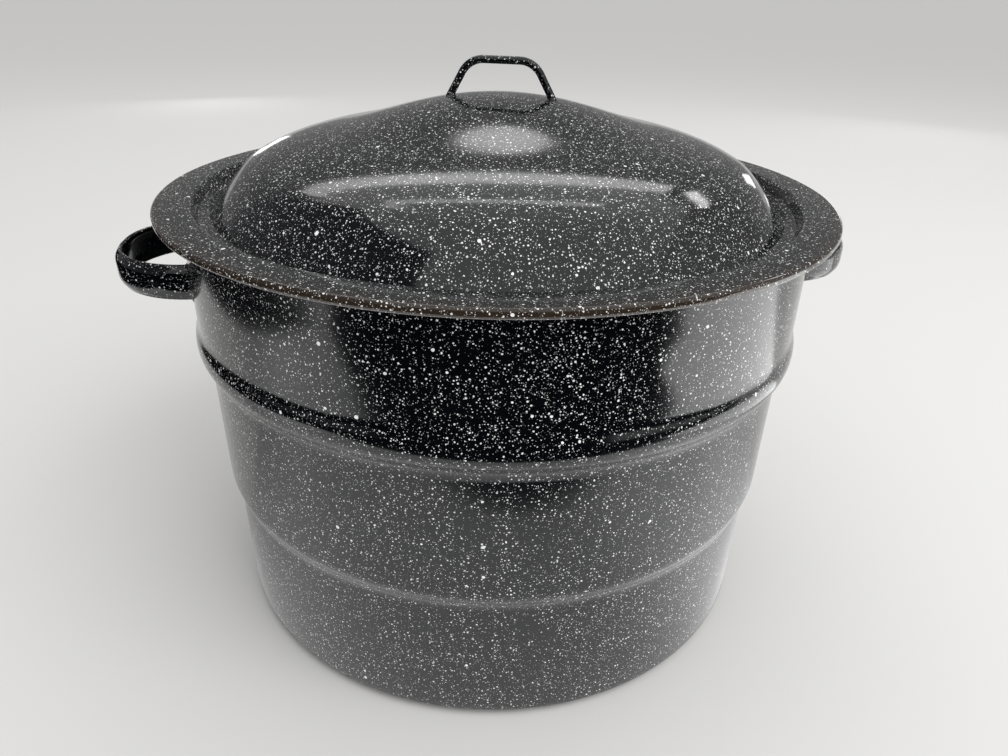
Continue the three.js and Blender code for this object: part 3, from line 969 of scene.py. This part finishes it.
def bail_path():
    """A bail on the +Y side: an open eye on the ring at each end, arms that step out, and a bar."""
    ring, wire, spread = RING_WIRE / 2, BAIL_WIRE / 2, math.radians(BAIL_SPREAD)
    eye_x, eye_y = OUTER_RING * math.sin(spread), OUTER_RING * math.cos(spread)
    eye_radius = ring / math.cos(spread) + wire * math.tan(spread) + wire + BAIL_EYE_CLEARANCE
    arm_y = eye_y + eye_radius
    top_y = math.sqrt((WALL_RADIUS - SHEET - BAIL_WALL_GAP - wire) ** 2 - eye_x**2)
    jog_z = BULGE_TOP - BAIL_JOG_RISE
    eye_line = arc((eye_y, UPPER_RING_Z), eye_radius, *BAIL_EYE_ARC, steps=30)
    eye = [(eye_x, y, z) for y, z in eye_line]
    stations = [
        (eye_x, arm_y, UPPER_RING_Z),
        (eye_x, arm_y, jog_z),
        (eye_x, top_y, jog_z + BAIL_JOG_RISE),
        (eye_x, top_y, BAIL_TOP_Z - BAIL_CORNER * 2),
    ]
    arm = eye + bent_line(stations, BAIL_JOG_BEND, steps=10)
    half = [stations[-1], (eye_x, top_y, BAIL_TOP_Z)]
    bar = bent_line(half + mirrored(half), BAIL_CORNER, steps=14)
    return joined(arm, bar, mirrored(arm))


def make_bail(name, degrees, body, node_name):
    points, gauge = wire_ends(bail_path(), BAIL_WIRE)
    marks = {"gauge": [g * MM for g in gauge], "weld": [0] * len(gauge)}
    host = line_mesh(name + "_path", [turned(points, degrees)], **marks)
    piece = grown(name, WIRE_WORK, host, Sides=WIRE_SIDES, Finish=PLATED_WIRE)
    dressed(piece, body, "plated_wire", node_name)


# Studio


def rectangle(left, near, right, far, z):
    return [(left, near, z), (right, near, z), (right, far, z), (left, far, z)]


def face_mesh(name, points, faces, finish):
    mesh = bpy.data.meshes.new(name)
    mesh.from_pydata(points, [], faces)
    mesh.materials.append(finish)
    return mesh


def make_floor():
    corners = rectangle(-FLOOR_REACH, -FLOOR_REACH, FLOOR_REACH, FLOOR_REACH, FLOOR_Z)
    floor = linked("floor", face_mesh("floor", corners, [(0, 1, 2, 3)], PALE_FLOOR))


def ahead_of(azimuth, elevation):
    """A direction by its azimuth from the back of the set and its elevation."""
    turn, rise = math.radians(azimuth), math.radians(elevation)
    level = math.cos(rise)
    return Vector((math.sin(turn) * level, math.cos(turn) * level, math.sin(rise)))


def make_softbox(name, azimuth, elevation, width, height, level, seen):
    """A soft lamp by its direction from the pot and its brightness; no camera sees it."""
    away = ahead_of(azimuth, elevation)
    lamp = bpy.data.lights.new(name, "AREA")
    lamp.shape = "RECTANGLE"
    lamp.size, lamp.size_y = width, height
    lamp.energy = WATTS_PER_LEVEL * width * height * level
    box = bpy.data.objects.new(name, lamp)
    box.location = Vector((0, 0, LAMP_AIM)) + away * LAMP_DISTANCE
    box.rotation_euler = (-away).to_track_quat("-Z", "Y").to_euler()
    box.visible_camera = False
    box.visible_glossy = seen
    bpy.context.scene.collection.objects.link(box)


def make_cloth(name, points, faces, finish):
    """Cloth or card round the set, which only reflections see, as glossy black ware is lit."""
    mesh = face_mesh(name, points, faces, finish)
    cloth = linked(name, mesh)
    cloth.visible_camera = cloth.visible_diffuse = cloth.visible_shadow = False
    cloth.visible_transmission = cloth.visible_volume_scatter = False
    return mesh


def smooth_step(value, span):
    share = np.clip((value - span[0]) / (span[1] - span[0]), 0, 1)
    return share * share * (3 - 2 * share)


def make_foot_card():
    """A glowing card before the pot, a painted reflection of the bright floor there: brighter on
    its right and far left, and dimmer towards the back.
    """
    right = WHITE_CARD_BOX[0]
    turns = np.radians(np.linspace(180, 360, FOOT_CARD_TURNS))
    across, along = np.cos(turns), np.sin(turns)
    sideways = np.where(across < 0, -CLOTH_LEFT, right) / np.maximum(np.abs(across), 1e-6)
    reach = np.minimum(sideways, CLOTH_NEAR / np.minimum(along, -1e-6))[:, None]
    rings = np.linspace(0, 1, FOOT_CARD_RINGS)
    radius = FOOT_CARD_START + rings * (reach - FOOT_CARD_START)
    x, y = radius * across[:, None], radius * along[:, None]
    points = np.stack([x, y, np.full_like(x, 1.5 * CLOTH_LIFT)], axis=2).reshape(-1, 3)
    steps = FOOT_CARD_RINGS
    corners = [i * steps + j for i in range(FOOT_CARD_TURNS - 1) for j in range(steps - 1)]
    faces = [(c, c + 1, c + steps + 1, c + steps) for c in corners]
    mesh = make_cloth("foot_card", points.tolist(), faces, FOOT_CARD)
    right_rise = RIGHT_RISE * smooth_step(x, RIGHT_SPAN)
    level = FOOT_CARD_GLOW + right_rise + LEFT_RISE * smooth_step(-x, LEFT_SPAN)
    glow = level - (BACK_SHARE * level + BACK_FALL) * smooth_step(y, BACK_SPAN)
    set_marks(mesh, {"glow": glow.ravel()})


def make_curtain(name, start, end, height, finish):
    """A cloth hung round part of the set, by its azimuths from the back."""
    turns = np.radians(np.linspace(start, end, CURTAIN_STEPS + 1))
    ring = [(CURTAIN_RADIUS * math.sin(a), CURTAIN_RADIUS * math.cos(a)) for a in turns]
    points = [(x, y, h) for x, y in ring for h in (0, height)]
    faces = [(2 * i, 2 * i + 2, 2 * i + 3, 2 * i + 1) for i in range(CURTAIN_STEPS)]
    make_cloth(name, points, faces, finish)


def make_surround():
    """Black cloth on the floor before and left of the pot, glowing cards beside it as a painted
    reflection of a bright worktop, and curtains.
    """
    near, left, far, z = CLOTH_NEAR, CLOTH_LEFT, CLOTH_REACH, CLOTH_LIFT
    whole = [(0, 1, 2, 3)]
    make_cloth("front_cloth", rectangle(-far, -far, far, near, z), whole, BLACK_CLOTH)
    make_cloth("side_cloth", rectangle(-far, near, left, far, z), whole, BLACK_CLOTH)
    make_cloth("white_card", rectangle(*WHITE_CARD_BOX, 2 * z), whole, GLOWING_CARD)
    make_foot_card()
    make_curtain("front_curtain", *FRONT_CURTAIN, BLACK_CLOTH)
    make_curtain("left_curtain", *LEFT_CURTAIN, GREY_CLOTH)


def make_lamps():
    for lamp in LAMPS:
        make_softbox(*lamp)


def make_world():
    """Plain light: a bright ceiling, over walls that are brighter before the pot than behind it."""
    world = bpy.data.worlds.new("studio")
    world.use_nodes = True
    tree = world.node_tree
    direction = node(tree, "ShaderNodeTexCoord").outputs["Generated"]
    away = node(tree, "ShaderNodeSeparateXYZ", {0: direction}).outputs
    wall = ranged(tree, away["Y"], (FRONT_LEVEL, WALL_LEVEL), WALL_SPAN)
    level = ranged(tree, away["Z"], (wall, CEILING_LEVEL), CEILING_SPAN)
    background = tree.nodes["Background"]
    tree.links.new(level, background.inputs["Strength"])
    background.inputs["Color"].default_value = (1, 1, 1, 1)
    bpy.context.scene.world = world


def make_camera():
    ahead = ahead_of(CAMERA_HEADING, -CAMERA_PITCH)
    roll = math.radians(CAMERA_ROLL)
    level = ahead.cross(Vector((0, 0, 1))).normalized()
    below = ahead.cross(level).normalized()
    right = level * math.cos(roll) + below * math.sin(roll)
    down = below * math.cos(roll) - level * math.sin(roll)
    lens = bpy.data.cameras.new("photo_view")
    lens.sensor_fit = "HORIZONTAL"
    lens.sensor_width = SENSOR
    lens.lens = FOCAL_PIXELS / PHOTO_WIDTH * SENSOR
    lens.clip_start, lens.clip_end = CLIP
    camera = linked("photo_view", lens)
    axes = Matrix((right, -down, -ahead)).transposed().to_4x4()
    camera.matrix_world = Matrix.Translation(CAMERA_PLACE) @ axes
    bpy.context.scene.camera = camera


bpy.context.scene.view_settings.view_transform = "Standard"
make_camera()
make_world()
make_floor()
make_surround()
make_lamps()
make_pot()
make_strap("strap_handle_right", 0, "side_handle_right")
make_strap("strap_handle_left", 180, "side_handle_left")
make_lid()
make_grip()
make_rack()
make_bail("rack_bail_back_wire", 0, "rack_bail_back", "rack_handle_back")
make_bail("rack_bail_front_wire", 180, "rack_bail_front", "rack_handle_front")
